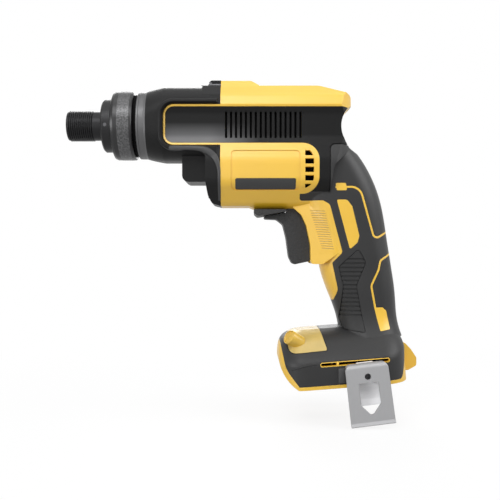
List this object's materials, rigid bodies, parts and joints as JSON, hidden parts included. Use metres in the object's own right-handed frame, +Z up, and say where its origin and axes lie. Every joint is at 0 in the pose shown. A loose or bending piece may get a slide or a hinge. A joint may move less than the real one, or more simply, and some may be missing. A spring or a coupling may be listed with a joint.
{
  "type": "cordless screw gun",
  "caption": "Pistol-grip cordless screw gun without battery: threaded nose, depth collar, slotted vent panels, soft grip, trigger, lit battery foot and belt hook.",
  "frame": {"origin": "tip of the nose on the spindle axis", "axes": "+X along the spindle axis to the rear, +Z up with the handle hanging down, -Y the tool's left side"},
  "size_m": [0.2724, 0.0838, 0.2608],
  "materials": {
    "yellow_shell": "moulded satin yellow",
    "vent_black": "fine moulded texture",
    "soft_black": "soft matt overmould",
    "pad_black": "ribbed soft pad",
    "case_black": "black coated casting",
    "black_steel": "black oxide",
    "nose_steel": "dark turned steel",
    "ring_black": "black oxide",
    "collar_black": "textured black",
    "nut_plastic": "natural grey",
    "spring_steel": "drawn wire",
    "gear_steel": "cut steel",
    "ball_steel": "ground steel",
    "bush_bronze": "sintered bronze",
    "plate_alloy": "die cast",
    "rotor_steel": "laminated steel",
    "magnet": "plated magnet",
    "fan_black": "moulded",
    "copper": "enamelled copper wire",
    "board_green": "circuit board",
    "control_black": "moulded black",
    "switch_grey": "moulded grey",
    "contact_brass": "plated blade",
    "wire_red": "insulated wire",
    "wire_black": "insulated wire",
    "lens_amber": "clear amber plate",
    "hook_steel": "plated sheet steel"
  },
  "bodies": {
    "shell": {"left_housing": "yellow_shell", "right_housing": "yellow_shell", "left_vent_panel": "vent_black", "right_vent_panel": "vent_black", "left_overmould": "soft_black", "right_overmould": "soft_black", "left_grip_pad": "pad_black", "right_grip_pad": "pad_black", "gear_case": "case_black", "gear_case_screws": "black_steel", "housing_screws": "black_steel", "ring_set_screw": "black_steel", "belt_hook_screw": "black_steel", "nose_sleeve": "nose_steel", "nose_ring": "ring_black", "torque_spring": "spring_steel", "trigger_spring": "spring_steel", "spindle_bearing": "ball_steel", "front_motor_bearing": "ball_steel", "rear_motor_bearing": "ball_steel", "spindle_bush": "bush_bronze", "bearing_plate": "plate_alloy", "motor_stator": "rotor_steel", "motor_windings": "copper", "sensor_board": "board_green", "light_board": "board_green", "trigger_switch": "switch_grey", "control_module": "switch_grey", "terminal_block": "switch_grey", "battery_terminals": "contact_brass", "power_leads": "wire_red", "motor_leads": "wire_red", "switch_leads": "wire_black", "light_lens": "lens_amber", "belt_hook": "hook_steel"},
    "trigger": {"trigger": "control_black", "trigger_plunger": "control_black"},
    "direction_button": {"direction_button": "control_black"},
    "torque_collar": {"torque_collar": "collar_black"},
    "torque_nut": {"torque_nut": "nut_plastic"},
    "spindle": {"output_spindle": "nose_steel", "spindle_gear": "gear_steel", "clutch_plate": "gear_steel", "clutch_balls": "ball_steel", "bit_clip": "spring_steel"},
    "rotor": {"rotor_shaft": "gear_steel", "rotor_core": "rotor_steel", "rotor_magnets": "magnet", "motor_fan": "fan_black", "motor_pinion": "gear_steel"}
  },
  "joints": [
    {"name": "trigger_slide", "type": "slide", "parent": "shell", "child": "trigger", "axis": [1, 0, 0], "range_m": [0, 0.006], "stiffness_N_per_m": 700, "springref_m": -0.006, "deforming": ["trigger_spring"]},
    {"name": "direction_slide", "type": "slide", "parent": "shell", "child": "direction_button", "axis": [0, 1, 0], "range_m": [-0.0025, 0.0025]},
    {"name": "collar_turn", "type": "hinge", "parent": "shell", "child": "torque_collar", "pos_m": [0.045, 0, 0], "axis": [1, 0, 0], "range_deg": [0, 300]},
    {"name": "nut_feed", "type": "slide", "parent": "torque_collar", "child": "torque_nut", "axis": [1, 0, 0], "range_m": [0, 0.0035], "deforming": ["torque_spring"]},
    {"name": "spindle_turn", "type": "hinge", "parent": "shell", "child": "spindle", "pos_m": [0, 0, 0], "axis": [1, 0, 0], "continuous": true},
    {"name": "rotor_turn", "type": "hinge", "parent": "shell", "child": "rotor", "pos_m": [0.15, 0, -0.0195], "axis": [1, 0, 0], "continuous": true}
  ],
  "couplings": [
    {"joint": "nut_feed", "follows": "collar_turn", "m_per_rad": 0.000668},
    {"joint": "rotor_turn", "follows": "spindle_turn", "ratio": -4.2}
  ]
}
